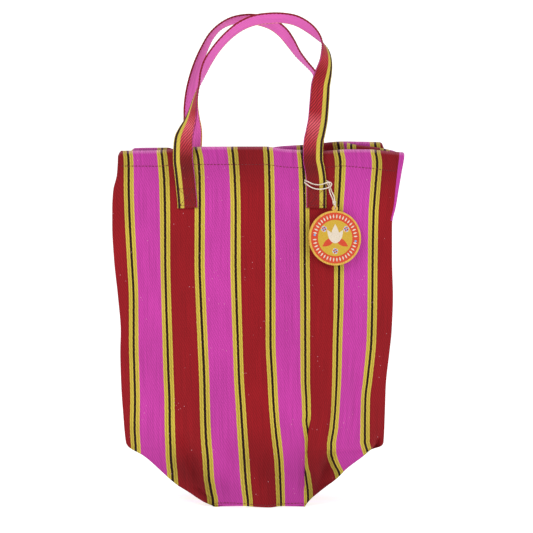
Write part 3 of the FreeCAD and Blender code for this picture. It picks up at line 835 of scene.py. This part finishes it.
def side_flap(material):
    """The side's cloth folded into the mouth at the right, as one bent sheet."""
    line = flap_line()
    drops = [0.0, 0.8, 2.0, 4.0, 7.0, 11.0, 16.0, 24.0, 34.0, 46.0, FLAP_TALL]
    points, faces, uvs = [], [], []
    for drop in drops:
        for x, y, _ in line:
            z = read_table(FLAP_TOP, x) - drop
            narrower = (edge_x(z, True) - FLAP_MARGIN - FLAP_LEFT) / (FLAP_RIGHT - FLAP_LEFT)
            wobble = 0.3 * ripple(x, drop, 11, 14, 8.2) * ease(drop / 8)
            points.append((FLAP_LEFT + (x - FLAP_LEFT) * min(1.0, narrower), y + wobble, z))
    count = len(line)
    for r in range(len(drops) - 1):
        for c in range(count - 1):
            here, below = r * count + c, (r + 1) * count + c
            faces.append((here, here + 1, below + 1, below))
            uvs += [(line[c][2], RIM_Z - drops[r]), (line[c + 1][2], RIM_Z - drops[r]),
                    (line[c + 1][2], RIM_Z - drops[r + 1]), (line[c][2], RIM_Z - drops[r + 1])]
    return new_piece("side_flap", points, faces, [material], uvs)


def mouth_blend(piece):
    """Bakes a piece of the body's placement into its mesh."""
    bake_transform(piece)


# --- stitches -------------------------------------------------------------------------------------
def stitches(name, material, places, length=2.6, thick=0.32):
    """Short rounded threads. Each place is a middle, the way along and the way out of the cloth."""
    rings = [(-0.5, 0.35), (-0.36, 0.85), (0.0, 1.0), (0.36, 0.85), (0.5, 0.35)]
    sides = 6
    points, faces = [], []
    for middle, along, out in places:
        along = along.normalized()
        across = along.cross(out).normalized()
        out = across.cross(along)
        first = len(points)
        for place, size in rings:
            for k in range(sides):
                turn = 2 * math.pi * k / sides
                points.append(middle + along * (place * length)
                              + across * (math.cos(turn) * thick * size)
                              + out * (math.sin(turn) * thick * size))
        faces += tube_faces(first, len(rings), sides)
    return new_piece(name, points, faces, [material])


def wall_stitch(side, x, z, step_x, step_z, off=0.12):
    """A stitch that lies on a wall and runs towards a step in x and z."""
    middle = Vector((x, wall_y(side, x, z) + side * off, z + lift(side, x, z)))
    x2, z2 = x + step_x, z + step_z
    ahead = Vector((x2, wall_y(side, x2, z2) + side * off, z2 + lift(side, x2, z2)))
    return middle, ahead - middle, Vector((0, side, 0))


HEM_ROW_Z, HEM_ROW_ENDS_Z = RIM_Z - HEM_DEPTH + 1.6, 345.0
# x, and how much higher than its even line the hem's row of stitches is
HEM_DROP = [
    (-150, 0), (-94, -0.5), (-62, -2.2), (10, -2.4), (31, -2.2), (60, -2), (78, -1), (115, -3.4),
    (150, -4),
]


def hem_row(side, pitch=3.6):
    """Stitches round one wall that hold the hem."""
    places = []
    x = edge_x(HEM_ROW_ENDS_Z, False) + 6
    while x < edge_x(HEM_ROW_ENDS_Z, True) - 6:
        z = HEM_ROW_Z + 0.5 * ripple(x, 0, 60, 1, 4) + read_table(HEM_DROP, x)
        places.append(wall_stitch(side, x, z, 1, 0))
        x += pitch
    return places


BASE_ROW_HALF, BASE_ROW_Z = 46.0, 2.6


def base_row(side, pitch=3.4):
    """Stitches along the foot of one wall."""
    places = []
    x = -BASE_ROW_HALF
    while x < BASE_ROW_HALF:
        places.append(wall_stitch(side, x, BASE_ROW_Z, 1, 0, 0.0))
        x += pitch
    return places


SIDE_ROW_INSET = 4.5


def side_row(right, pitch=3.8):
    """Stitches down the back wall just behind a side edge."""
    places = []
    z = CORNER_Z + 6
    while z < RIM_Z - 22:
        x = edge_x(z, right) - (SIDE_ROW_INSET if right else -SIDE_ROW_INSET)
        places.append(wall_stitch(BACK, x, z, 0, 1))
        z += pitch
    return places


# --- straps ---------------------------------------------------------------------------------------
TAB_FOOT_Z, TAB_SEWN_Z = 304.0, 326.5
FRONT_HANDLE_Y, BACK_HANDLE_Y = -13.0, 13.0
# x, z and twist in degrees of each handle's middle line, as in the CAD part
FRONT_ROUTE = [
    (-80, 373, 13), (-77.5, 383, 33), (-73, 395, 52), (-70, 408, 67), (-67, 421, 78),
    (-63, 434.5, 91), (-59.5, 445.5, 104), (-54.5, 457, 110), (-46, 470, 109), (-35, 482.5, 109),
    (-22, 493, 111), (-8, 499.5, 113), (7, 502, 114), (23, 502.5, 112), (38, 499.5, 113),
    (51, 492, 111), (60, 483.5, 101), (65.5, 475.5, 83), (68.2, 466.5, 63), (68.4, 456, 49),
    (66, 444.5, 32), (63.2, 433, 18), (62.2, 420.5, 10), (61.3, 408.5, 6), (60, 395, 6),
    (57.4, 381.5, 5), (55.6, 373, 4),
]
BACK_ROUTE = [
    (-71.8, 378, 6), (-71.9, 388, 16), (-72.6, 399, 37), (-73.3, 411, 46), (-72.7, 424, 53),
    (-71.2, 436, 60), (-68.4, 448.5, 65), (-64.2, 461, 68), (-58.8, 474, 73), (-52, 486.5, 77),
    (-42.5, 496.5, 80), (-29.5, 503, 76), (-14, 505, 70), (1, 503, 65), (13.5, 498.5, 63),
    (24, 490.5, 62), (32, 480, 66), (39.8, 468, 75), (48.4, 458, 82), (56.4, 449, 84),
    (60.8, 440, 72), (62.6, 430, 52), (62.8, 420, 34), (62, 409, 20), (60.4, 395, 10),
    (58.2, 383, 3), (57.2, 378, 0),
]
# height, x of a tab's middle
FRONT_LEFT_TAB = [(304, -75.7), (326.5, -77.5), (331.5, -78), (364, -81)]
FRONT_RIGHT_TAB = [(304, 58.4), (326.5, 58.5), (331.5, 58.4), (364, 54.4)]
BACK_LEFT_TAB = [(304, -75), (326.5, -74.8), (331.5, -74.6), (370, -72.4)]
BACK_RIGHT_TAB = [(304, 58.4), (326.5, 58.2), (331.5, 58), (370, 57.4)]
# height, gap between the cloth and the strap
TAB_GAPS = [(304, 0.12), (325, 0.12), (332, 2.0), (346, 1.1), (364, 0.5)]
TAB_HEIGHTS = [304, 309, 315, 321, 325, 328, 332, 338, 346, 355]
RIM_BULGE, RIM_BULGE_Z, RIM_BULGE_TALL = 4.0, 386.0, 20.0    # how the straps lean out above the rim
STRAP_STEPS = 4                     # rows of the mesh between two stations
STRAP_CROWN = 0.1                   # how much thicker the middle is on each face


def tab_station(side, tab, z, sign):
    """Middle and wide direction of a strap on the wall. sign is the leg's outward side in x."""
    x = read_table(tab, z)
    z_cloth = min(RIM_Z, z - lift(side, x, z))
    half = STRAP_WIDE / 2
    near = Vector((x - half, wall_y(side, x - half, z_cloth), z))
    far = Vector((x + half, wall_y(side, x + half, z_cloth), z))
    middle_y = side * max(side * (near.y + far.y) / 2, side * wall_y(side, x, z_cloth))
    middle = Vector((x, middle_y + side * (read_table(TAB_GAPS, z) + STRAP_THICK / 2), z))
    return middle, (far - near).normalized() * sign


def strap_stations(side, route, tabs, handle_y):
    """Middles and wide directions from the left foot, round the loop, to the right foot."""
    left = [tab_station(side, tabs[0], z, -1) for z in TAB_HEIGHTS]
    right = [tab_station(side, tabs[1], z, 1) for z in TAB_HEIGHTS]
    loop = []
    middles = [Vector((x, 0, z)) for x, z, _ in route]
    for number, (x, z, twist) in enumerate(route):
        before = middles[max(0, number - 1)]
        after = middles[min(len(route) - 1, number + 1)]
        along = (after - before).normalized()
        outward = Vector((-along.z, 0, along.x))
        turn = math.radians(twist)
        wide = outward * math.cos(turn) + Vector((0, -side * math.sin(turn), 0))
        ends = min(number, len(route) - 1 - number)
        foot = left[-1][0] if number < len(route) / 2 else right[-1][0]
        over_rim = side * RIM_BULGE * math.exp(-((z - RIM_BULGE_Z) / RIM_BULGE_TALL) ** 2)
        y = between(foot.y, handle_y, min(1.0, (ends + 1) / 3)) + over_rim
        loop.append((Vector((x, y, z)), wide))
    return left + loop + right[::-1]


def smooth_between(a, b, c, d, t):
    """A point of a smooth curve through four vectors, between the second and the third."""
    return (2 * b + (c - a) * t + (2 * a - 5 * b + 4 * c - d) * t * t
            + (3 * b - a - 3 * c + d) * t ** 3) / 2


def strap_profile():
    """Across and out of the strap's section, with its map's place across and which face it is."""
    outer = [0.0, 1.2, 3.0, 5.2, 7.2, 10.4, 14.0, 17.6, 19.6, STRAP_WIDE]
    half, edge = STRAP_THICK / 2, STRAP_WIDE / 2
    section = []
    for place in outer:
        inward = min(place, STRAP_WIDE - place)
        fullness = 0.55 if inward == 0 else 0.92 if inward < 1.5 else 1.0
        out = half * fullness + STRAP_CROWN * ease(inward / 6)
        section.append((edge - place, out, place))
    return section


def strap_rows(stations):
    """Middles and wide directions of the strap's rows: the stations, smoothly joined."""
    rows = []
    for i in range(len(stations) - 1):
        window = [stations[max(0, min(len(stations) - 1, i + k))] for k in (-1, 0, 1, 2)]
        for step in range(STRAP_STEPS):
            t = step / STRAP_STEPS
            middle, wide = (smooth_between(*[station[part] for station in window], t)
                            for part in (0, 1))
            rows.append((middle, wide))
    rows.append(stations[-1])
    return rows


def strap(name, side, rows, materials):
    """One strap: both feet on the wall and the twisted loop between them, in one mesh.

    The stripes of the back strap run the other way across than those of the front strap.
    """
    section = strap_profile()
    count = len(section)
    points, lengths, length = [], [], 0.0
    for i, (middle, wide) in enumerate(rows):
        along = (rows[min(len(rows) - 1, i + 1)][0] - rows[max(0, i - 1)][0]).normalized()
        wide = (wide - along * wide.dot(along)).normalized()
        thick = along.cross(wide)
        if i:
            length += (middle - rows[i - 1][0]).length
        lengths.append(length)
        points += [middle + wide * a + thick * b for a, b, _ in section]
        points += [middle + wide * a - thick * b for a, b, _ in reversed(section)]
    around = 2 * count
    first_face = 0 if side == FRONT else 1      # which material faces along +thick
    faces, uvs, face_material = [], [], []
    places = [place for _, _, place in section] + [place for _, _, place in reversed(section)]
    if side == BACK:
        places = [STRAP_WIDE - place for place in places]
    for r in range(len(rows) - 1):
        for c in range(around):
            d = (c + 1) % around
            here, there = r * around, (r + 1) * around
            faces.append((here + c, there + c, there + d, here + d))
            uvs += [(places[c], lengths[r]), (places[c], lengths[r + 1]),
                    (places[d], lengths[r + 1]), (places[d], lengths[r])]
            face_material.append(first_face if c < count - 1 or c == around - 1 else 1 - first_face)
    for r in (0, len(rows) - 1):
        order = list(range(around))
        if r:
            order.reverse()
        faces.append(tuple(r * around + c for c in order))
        uvs += [(places[c], lengths[r]) for c in order]
        face_material.append(0)
    return new_piece(name, points, faces, materials, uvs, face_material)


BOX_INSET, BOX_PITCH = 2.5, 3.1     # the stitched box on a strap's foot


def tab_stitches(side, tab):
    """A stitched box with a cross in it on a strap's foot."""
    low, high = TAB_FOOT_Z + BOX_INSET, TAB_SEWN_Z - BOX_INSET
    half = STRAP_WIDE / 2 - BOX_INSET
    corners = [(-half, low), (half, low), (half, high), (-half, high)]
    lines = list(zip(corners, corners[1:] + corners[:1]))
    lines += [(corners[0], corners[2]), (corners[1], corners[3])]
    places = []
    for (a, z_a), (b, z_b) in lines:
        length = math.hypot(b - a, z_b - z_a)
        count = round(length / BOX_PITCH)
        for i in range(count):
            t = (i + 0.5) / count
            across, z = between(a, b, t), between(z_a, z_b, t)
            places.append(on_strap(side, tab, across, z, b - a, z_b - z_a))
    return places


def on_strap(side, tab, across, z, run_x, run_z):
    """A stitch on the face of a strap's foot."""
    middle, wide = tab_station(side, tab, z, 1)
    face = STRAP_THICK / 2 + STRAP_CROWN + 0.1
    point = middle + wide * across + Vector((0, side * face, 0))
    return point, wide * run_x + Vector((0, 0, run_z)), Vector((0, side, 0))


EDGE_SEAM_INSET = 1.3


def edge_stitches(rows, low_z, pitch=3.3):
    """Two rows of stitches along a handle, near its edges, on both faces."""
    places = []
    since = 0.0
    for i in range(1, len(rows) - 1):
        middle, wide = rows[i]
        since += (middle - rows[i - 1][0]).length
        if middle.z < low_z or since < pitch:
            continue
        since -= pitch
        along = (rows[i + 1][0] - rows[i - 1][0]).normalized()
        wide = (wide - along * wide.dot(along)).normalized()
        thick = along.cross(wide)
        for edge in (-1, 1):
            for face in (-1, 1):
                across = edge * (STRAP_WIDE / 2 - EDGE_SEAM_INSET)
                point = middle + wide * across + thick * (face * STRAP_THICK * 0.47)
                places.append((point, along, thick * face))
    return places


# --- string, knot and tag -------------------------------------------------------------------------
CORD_D = 0.0013
# the string's route in metres: up from the knot, round the front right strap and down again
STRING_ROUTE = [
    (0.0782, -0.0222, 0.3086), (0.0772, -0.0216, 0.3123), (0.0768, -0.0208, 0.3162),
    (0.0751, -0.0201, 0.3196), (0.0732, -0.0188, 0.3244), (0.0726, -0.0173, 0.3282),
    (0.0709, -0.0159, 0.3318), (0.0665, -0.0156, 0.3334), (0.0575, -0.0164, 0.3336),
    (0.0495, -0.0170, 0.3334), (0.0465, -0.0179, 0.3332), (0.0464, -0.0206, 0.3326),
    (0.0493, -0.0214, 0.3314), (0.0540, -0.0210, 0.3290), (0.0600, -0.0203, 0.3278),
    (0.0660, -0.0202, 0.3288), (0.0704, -0.0207, 0.3310), (0.0738, -0.0210, 0.3304),
    (0.0746, -0.0207, 0.3274), (0.0712, -0.0200, 0.3252), (0.0655, -0.0194, 0.3236),
    (0.0585, -0.0197, 0.3234), (0.0520, -0.0203, 0.3258), (0.0484, -0.0211, 0.3286),
    (0.0462, -0.0205, 0.3302), (0.0463, -0.0177, 0.3310), (0.0496, -0.0170, 0.3313),
    (0.0575, -0.0164, 0.3313), (0.0665, -0.0157, 0.3312), (0.0706, -0.0164, 0.3292),
    (0.0717, -0.0186, 0.3242), (0.0728, -0.0200, 0.3189), (0.0745, -0.0207, 0.3155),
    (0.0757, -0.0215, 0.3119), (0.0770, -0.0221, 0.3084),
]
TAG_YAW, TAG_PITCH = math.radians(17.0), math.radians(3.5)
TAG_RIGHT = Vector((math.cos(TAG_YAW), math.sin(TAG_YAW), 0))
TAG_UP = Vector((0, math.sin(TAG_PITCH), math.cos(TAG_PITCH)))
TAG_FACE = TAG_RIGHT.cross(TAG_UP).normalized()
TAG_CENTRE = Vector((77.6, -23.4, 272.6))
TAG_R, TAG_THICK = 28.5, 1.6
KNOT_RISE, LOOP_RISE = 36.7, 33.2            # above the tag's centre


def tag_point(right, up, out):
    """A point given in the tag's own directions."""
    return TAG_CENTRE + TAG_RIGHT * right + TAG_UP * up + TAG_FACE * out


def spline_line(route):
    """Points along the smooth curve that has the route's points as its control points."""
    curve = bpy.data.curves.new("route", "CURVE")
    curve.dimensions = "3D"
    curve.resolution_u = 8
    spline = curve.splines.new("NURBS")
    spline.points.add(len(route) - 1)
    for point, place in zip(spline.points, route):
        point.co = (*place, 1)
    spline.order_u = 3
    spline.use_endpoint_u = True
    holder = bpy.data.objects.new("route", curve)
    mesh = bpy.data.meshes.new_from_object(holder)
    line = [v.co.copy() for v in mesh.vertices]
    bpy.data.objects.remove(holder)
    bpy.data.curves.remove(curve)
    bpy.data.meshes.remove(mesh)
    return line


def carried_frames(line, closed=False):
    """Two directions square to a line at each of its points, turned as little as possible."""
    count = len(line)
    frames, side = [], None
    for i in range(count):
        ahead = line[(i + 1) % count] if closed else line[min(count - 1, i + 1)]
        behind = line[i - 1] if closed or i else line[0]
        along = (ahead - behind).normalized()
        if side is None:
            side = along.cross(Vector((0.31, 0.87, 0.22))).normalized()
        side = (side - along * side.dot(along)).normalized()
        frames.append((side, along.cross(side)))
    return frames


def strands(name, material, line, radius, twist_length, count=3, closed=False):
    """A twisted string of several strands that follow a line in millimetres."""
    frames = carried_frames(line, closed)
    sides = 7
    strand_r = radius * 0.54
    offset = radius - strand_r
    points, faces = [], []
    for s in range(count):
        first, run = len(points), 0.0
        for i, (middle, (side, up)) in enumerate(zip(line, frames)):
            if i:
                run += (middle - line[i - 1]).length
            turn = 2 * math.pi * (run / twist_length + s / count)
            centre = middle + (side * math.cos(turn) + up * math.sin(turn)) * offset
            for k in range(sides):
                a = 2 * math.pi * k / sides
                points.append(centre + (side * math.cos(a) + up * math.sin(a)) * strand_r)
        faces += tube_faces(first, len(line), sides, closed)
    return new_piece(name, points, faces, [material])


def knot_line():
    """An overhand knot's closed line, in millimetres, above the tag's hole."""
    line = []
    for i in range(60):
        t = 2 * math.pi * i / 60
        right = (math.sin(t) + 2 * math.sin(2 * t)) * 0.52
        up = (math.cos(t) - 2 * math.cos(2 * t)) * 0.58
        out = -math.sin(3 * t) * 0.75
        line.append(tag_point(-0.6 + right, KNOT_RISE + up, out))
    return line


def loop_line():
    """The closed loop from the knot through the tag's hole."""
    line = []
    for i in range(36):
        t = 2 * math.pi * i / 36
        right, up = 0.25 * math.cos(t) - 0.25, LOOP_RISE + 2.6 * math.cos(t)
        line.append(tag_point(right, up, 1.75 * math.sin(t)))
    return line


def plate(points, faces, outline, low, high):
    """Adds a thin flat plate with this outline, in the tag's own directions."""
    first, count = len(points), len(outline)
    for out in (low, high):
        points += [tag_point(r, u, out) for r, u in outline]
    faces.append(tuple(first + count + k for k in range(count)))
    faces.append(tuple(first + k for k in reversed(range(count))))
    for k in range(count):
        n = (k + 1) % count
        faces.append((first + k, first + n, first + count + n, first + count + k))


def ring(points, faces, inner, outer, low, high, steps=96):
    """Adds a flat ring with a slightly rounded outer and inner edge."""
    soft = min(0.25, (outer - inner) / 4)
    section = [(inner, low), (outer, low), (outer, high - soft * 0.6), (outer - soft, high),
               (inner + soft, high), (inner, high - soft * 0.6)]
    first, count = len(points), len(section)
    for i in range(steps):
        t = 2 * math.pi * i / steps
        points += [tag_point(r * math.cos(t), r * math.sin(t), out) for r, out in section]
    for i in range(steps):
        here, there = first + i * count, first + (i + 1) % steps * count
        for k in range(count):
            n = (k + 1) % count
            faces.append((here + k, there + k, there + n, here + n))


def petal(angle, start, length, width, centre=(0.0, 0.0)):
    """The outline of a pointed petal that leaves a centre at an angle in degrees."""
    turn = math.radians(angle)
    along, across = (math.cos(turn), math.sin(turn)), (-math.sin(turn), math.cos(turn))
    outline = []
    for i in range(16):
        t = i / 15
        outline.append((start + length * t, width / 2 * math.sin(math.pi * t ** 0.8) ** 0.9))
    back = [(place, -half) for place, half in outline[-2:0:-1]]
    return [(centre[0] + along[0] * p + across[0] * h, centre[1] + along[1] * p + across[1] * h)
            for p, h in outline + back]


def disc(centre, radius, steps=20):
    """A round outline."""
    return [(centre[0] + radius * math.cos(2 * math.pi * i / steps),
             centre[1] + radius * math.sin(2 * math.pi * i / steps)) for i in range(steps)]


RIM_INNER, BAND_INNER = 26.5, 18.8          # radii of the tag's printed rings
FACE_OUT = TAG_THICK / 2
BAND_MIDDLE = (RIM_INNER + BAND_INNER) / 2
MARKS, MARK_LONG, MARK_WIDE = 40, 4.4, 1.5  # pale bars round the red band
BLUE_DOTS, DOT_R = [172, 352], 1.2          # degrees round the band
FLOWER_FOOT = (0.0, -5.5)
# angle, length, width and height of each of the flower's petals
FLOWER = [(58, 16.5, 6.2, 0.16), (122, 16.5, 6.2, 0.22), (90, 20.0, 8.6, 0.3)]
LEAF_ANGLES, LEAF_LONG, LEAF_WIDE = (-32, 212), 14.5, 6.6
ROSETTES, ROSETTE_R = [(-12.2, 9.4), (12.2, 9.4), (0.0, -13.6)], 3.2
ROSETTE_PETAL = (0.5, 2.6, 1.7)             # start, length and width


def on_band(angle):
    """The place in the middle of the red band at this many degrees."""
    turn = math.radians(angle)
    return BAND_MIDDLE * math.cos(turn), BAND_MIDDLE * math.sin(turn)


def rosette_petals(points, faces, first_angle):
    """Four petals on each rosette."""
    for centre in ROSETTES:
        for k in range(4):
            outline = petal(first_angle + 90 * k, *ROSETTE_PETAL, centre)
            plate(points, faces, outline, FACE_OUT, FACE_OUT + 0.2)


def tag_rim(points, faces):
    ring(points, faces, RIM_INNER, TAG_R - 0.05, FACE_OUT - 0.2, FACE_OUT + 0.28)


def tag_red(points, faces):
    """The red band, the flower's leaves and the rosettes' red petals."""
    ring(points, faces, BAND_INNER, RIM_INNER + 0.2, FACE_OUT - 0.1, FACE_OUT + 0.1)
    for angle in LEAF_ANGLES:
        plate(points, faces, petal(angle, 2.0, LEAF_LONG, LEAF_WIDE), FACE_OUT, FACE_OUT + 0.12)
    rosette_petals(points, faces, 67)


def tag_yellow(points, faces):
    plate(points, faces, disc((0, 0), BAND_INNER + 0.1, 96), FACE_OUT - 0.1, FACE_OUT + 0.06)


def tag_cream(points, faces):
    """The bars round the band, the flower and the rosettes' discs."""
    for i in range(MARKS):
        angle = 360 * (i + 0.5) / MARKS
        if min(abs(angle - blue) for blue in BLUE_DOTS) > 4:
            outline = petal(angle, -MARK_LONG / 2, MARK_LONG, MARK_WIDE, on_band(angle))
            plate(points, faces, outline, FACE_OUT, FACE_OUT + 0.16)
    for angle, long, wide, top in FLOWER:
        plate(points, faces, petal(angle, 0.0, long, wide, FLOWER_FOOT), FACE_OUT, FACE_OUT + top)
    for centre in ROSETTES:
        plate(points, faces, disc(centre, ROSETTE_R), FACE_OUT, FACE_OUT + 0.14)


def tag_blue(points, faces):
    """The rosettes' blue petals and the dots on the band."""
    rosette_petals(points, faces, 22)
    for angle in BLUE_DOTS:
        plate(points, faces, disc(on_band(angle), DOT_R), FACE_OUT, FACE_OUT + 0.2)


def tag_pieces(board):
    """The tag's raised rim and its print: a red band with pale bars, and a flower on yellow."""
    red = ink_material("ink_red", colour(206, 56, 10), colour(212, 82, 24))
    yellow = ink_material("ink_yellow", colour(202, 162, 30), colour(210, 172, 50))
    cream = ink_material("ink_cream", colour(224, 210, 188), colour(206, 184, 166))
    blue = ink_material("ink_blue", colour(120, 160, 206), colour(170, 196, 220))
    made = []
    for name, material, fill in (
            ("tag_rim", board, tag_rim), ("tag_red_print", red, tag_red),
            ("tag_yellow_print", yellow, tag_yellow), ("tag_cream_print", cream, tag_cream),
            ("tag_blue_print", blue, tag_blue)):
        points, faces = [], []
        fill(points, faces)
        made.append(new_piece(name, points, faces, [material], smooth=False))
    return made


# --- assembly -------------------------------------------------------------------------------------
def place_string(cotton):
    """The string hitched round the strap, with its knot and its loop through the tag."""
    line = spline_line(STRING_ROUTE)
    string = strands("tag_string", cotton, [p / MM for p in line], CORD_D / MM / 2, 4.2)
    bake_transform(string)
    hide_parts("tag_string_hitch", "tag_string_fall")
    knot = strands("tag_string_knot", cotton, knot_line(), 0.72, 3.5, closed=True)
    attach(knot, "tag_string")
    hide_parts("tag_knot")
    loop = strands("tag_string_loop", cotton, loop_line(), 0.5, 3.0, closed=True)
    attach(loop, "tag_string")


def place_body(cloth):
    """The body's cloth, and the fold of it in the mouth's right end."""
    body = body_cloth(cloth)
    thicken(body, CLOTH)
    mouth_blend(body)
    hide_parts("front_panel", "back_panel", "base_panel", "left_corner_fold",
                "right_corner_fold", "front_hem", "back_hem")
    flap = side_flap(cloth)
    thicken(flap, CLOTH)
    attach(flap, "bag_back")


def place_body_thread(thread):
    """The rows of stitches on the body: both hems, both base seams and both side seams."""
    rows = []
    for name, side in (("front", FRONT), ("back", BACK)):
        rows.append((f"{name}_hem_stitches", hem_row(side), f"{name}_hem_thread"))
        rows.append((f"{name}_base_stitches", base_row(side), f"{name}_base_seam"))
    for name, right in (("left", False), ("right", True)):
        rows.append((f"{name}_side_stitches", side_row(right), f"{name}_side_seam"))
    for name, places, node in rows:
        row = stitches(name, thread, places)
        mouth_blend(row)
        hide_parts(node)


def place_straps(faces, thread):
    """Both straps, with the stitches of their feet and of their edges."""
    for name, side, rim, route, tabs, handle_y in (
            ("front", FRONT, RIM_Z, FRONT_ROUTE, (FRONT_LEFT_TAB, FRONT_RIGHT_TAB), FRONT_HANDLE_Y),
            ("back", BACK, BACK_RIM_Z, BACK_ROUTE, (BACK_LEFT_TAB, BACK_RIGHT_TAB), BACK_HANDLE_Y)):
        rows = strap_rows(strap_stations(side, route, tabs, handle_y))
        piece = strap(f"{name}_strap", side, rows, faces)
        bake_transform(piece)
        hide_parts(f"{name}_left_tab", f"{name}_right_tab", f"{name}_handle_strap")
        row = stitches(f"{name}_tab_stitches", thread,
                       tab_stitches(side, tabs[0]) + tab_stitches(side, tabs[1]), 2.3, 0.26)
        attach(row, f"bag_{name}")
        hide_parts(f"{name}_tab_thread")
        row = stitches(f"{name}_strap_stitches", thread, edge_stitches(rows, rim + 9), 2.1, 0.22)
        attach(row, f"{name}_handle")


def place_tag(board):
    """The tag's rim and print, on the CAD part's own disc."""
    for piece in tag_pieces(board):
        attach(piece, "swing_tag")
    disc_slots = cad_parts["tag_disc"].data.materials
    disc_slots.clear()
    disc_slots.append(board)


set_stage()
red_thread = thread_material("red_thread", THREAD_RED)
place_string(cotton_material())
place_body(body_cloth_material())
place_body_thread(red_thread)
strap_faces = [strap_material("strap_striped_face", False), strap_material("strap_pink_face", True)]
place_straps(strap_faces, red_thread)
place_tag(board_material())
